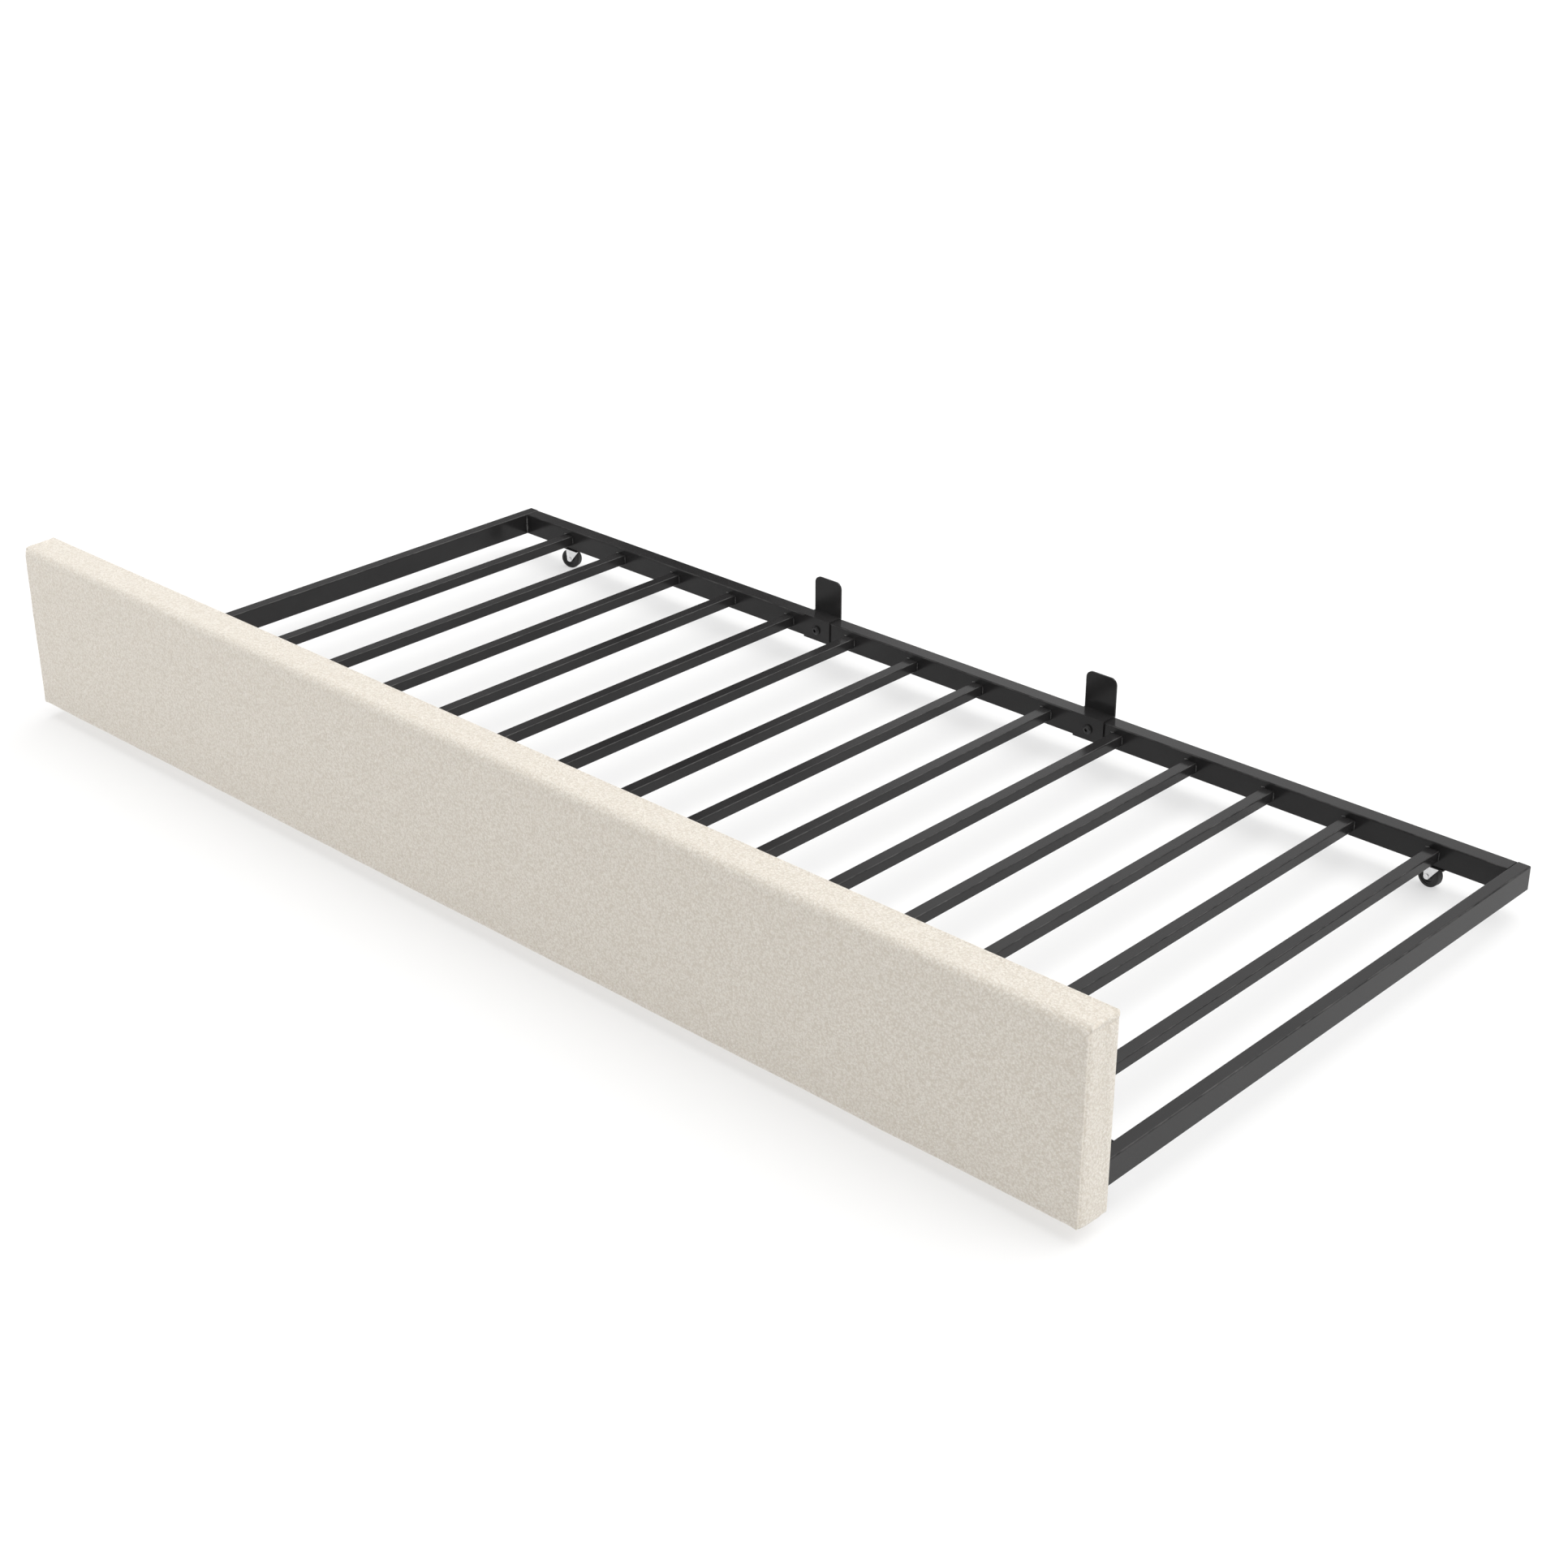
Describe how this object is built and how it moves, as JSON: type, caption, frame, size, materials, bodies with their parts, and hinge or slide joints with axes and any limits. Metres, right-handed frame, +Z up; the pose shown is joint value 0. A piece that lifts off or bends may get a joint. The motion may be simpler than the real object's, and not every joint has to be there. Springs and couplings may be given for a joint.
{
  "type": "trundle bed",
  "caption": "Low rolling trundle bed: slatted black steel frame on swivel casters, with a cream upholstered front panel and rear mattress stops.",
  "frame": {"origin": "on the floor, under the centre of the bed's bounding box", "axes": "+X along the bed's length to the right as seen from the front, the upholstered panel faces -Y and the mattress stops are at +Y, +Z up"},
  "size_m": [1.93, 0.97, 0.271],
  "materials": {
    "frame_steel": "satin",
    "black_hardware": "satin",
    "caster_zinc": "satin",
    "wheel_plastic": "satin",
    "wheel_tyre": "matte",
    "plug_plastic": "matte",
    "panel_fabric": "matte",
    "backing_cloth": "matte",
    "panel_foam": "matte",
    "panel_board": "matte"
  },
  "bodies": {
    "frame": {"front_rail": "frame_steel", "rear_rail": "frame_steel", "left_side_rail": "frame_steel", "right_side_rail": "frame_steel", "side_rail_plugs": "plug_plastic", "slat_01": "frame_steel", "slat_02": "frame_steel", "slat_03": "frame_steel", "slat_04": "frame_steel", "slat_05": "frame_steel", "slat_06": "frame_steel", "slat_07": "frame_steel", "slat_08": "frame_steel", "slat_09": "frame_steel", "slat_10": "frame_steel", "slat_11": "frame_steel", "slat_12": "frame_steel", "slat_13": "frame_steel", "slat_14": "frame_steel", "left_stop": "frame_steel", "right_stop": "frame_steel", "stop_bolts": "black_hardware", "stop_nuts": "black_hardware", "panel_cover": "panel_fabric", "panel_foam": "panel_foam", "panel_board": "panel_board", "panel_backing": "backing_cloth", "panel_bolts": "black_hardware", "panel_inserts": "caster_zinc", "rear_left_plate": "frame_steel", "rear_left_pin": "caster_zinc", "rear_right_plate": "frame_steel", "rear_right_pin": "caster_zinc", "front_left_plate": "frame_steel", "front_left_pin": "caster_zinc", "front_right_plate": "frame_steel", "front_right_pin": "caster_zinc"},
    "rear_left_caster": {"rear_left_fork": "caster_zinc", "rear_left_axle": "caster_zinc"},
    "rear_left_wheel": {"rear_left_hub": "wheel_plastic", "rear_left_tyre": "wheel_tyre"},
    "rear_right_caster": {"rear_right_fork": "caster_zinc", "rear_right_axle": "caster_zinc"},
    "rear_right_wheel": {"rear_right_hub": "wheel_plastic", "rear_right_tyre": "wheel_tyre"},
    "front_left_caster": {"front_left_fork": "caster_zinc", "front_left_axle": "caster_zinc"},
    "front_left_wheel": {"front_left_hub": "wheel_plastic", "front_left_tyre": "wheel_tyre"},
    "front_right_caster": {"front_right_fork": "caster_zinc", "front_right_axle": "caster_zinc"},
    "front_right_wheel": {"front_right_hub": "wheel_plastic", "front_right_tyre": "wheel_tyre"}
  },
  "joints": [
    {"name": "rear_left_swivel", "type": "hinge", "parent": "frame", "child": "rear_left_caster", "pos_m": [-0.8255, 0.462, 0.0347], "axis": [0, 0, 1], "continuous": true},
    {"name": "rear_left_roll", "type": "hinge", "parent": "rear_left_caster", "child": "rear_left_wheel", "pos_m": [-0.83219, 0.45995, 0.0165], "axis": [-0.2924, 0.9563, 0], "continuous": true},
    {"name": "rear_right_swivel", "type": "hinge", "parent": "frame", "child": "rear_right_caster", "pos_m": [0.8255, 0.462, 0.0347], "axis": [0, 0, 1], "continuous": true},
    {"name": "rear_right_roll", "type": "hinge", "parent": "rear_right_caster", "child": "rear_right_wheel", "pos_m": [0.81856, 0.46291, 0.0165], "axis": [0.1305, 0.9914, 0], "continuous": true},
    {"name": "front_left_swivel", "type": "hinge", "parent": "frame", "child": "front_left_caster", "pos_m": [-0.8255, -0.402, 0.0347], "axis": [0, 0, 1], "continuous": true},
    {"name": "front_left_roll", "type": "hinge", "parent": "front_left_caster", "child": "front_left_wheel", "pos_m": [-0.83241, -0.40309, 0.0165], "axis": [-0.1564, 0.9877, 0], "continuous": true},
    {"name": "front_right_swivel", "type": "hinge", "parent": "frame", "child": "front_right_caster", "pos_m": [0.8255, -0.402, 0.0347], "axis": [0, 0, 1], "continuous": true},
    {"name": "front_right_roll", "type": "hinge", "parent": "front_right_caster", "child": "front_right_wheel", "pos_m": [0.81871, -0.40031, 0.0165], "axis": [0.2419, 0.9703, 0], "continuous": true}
  ]
}
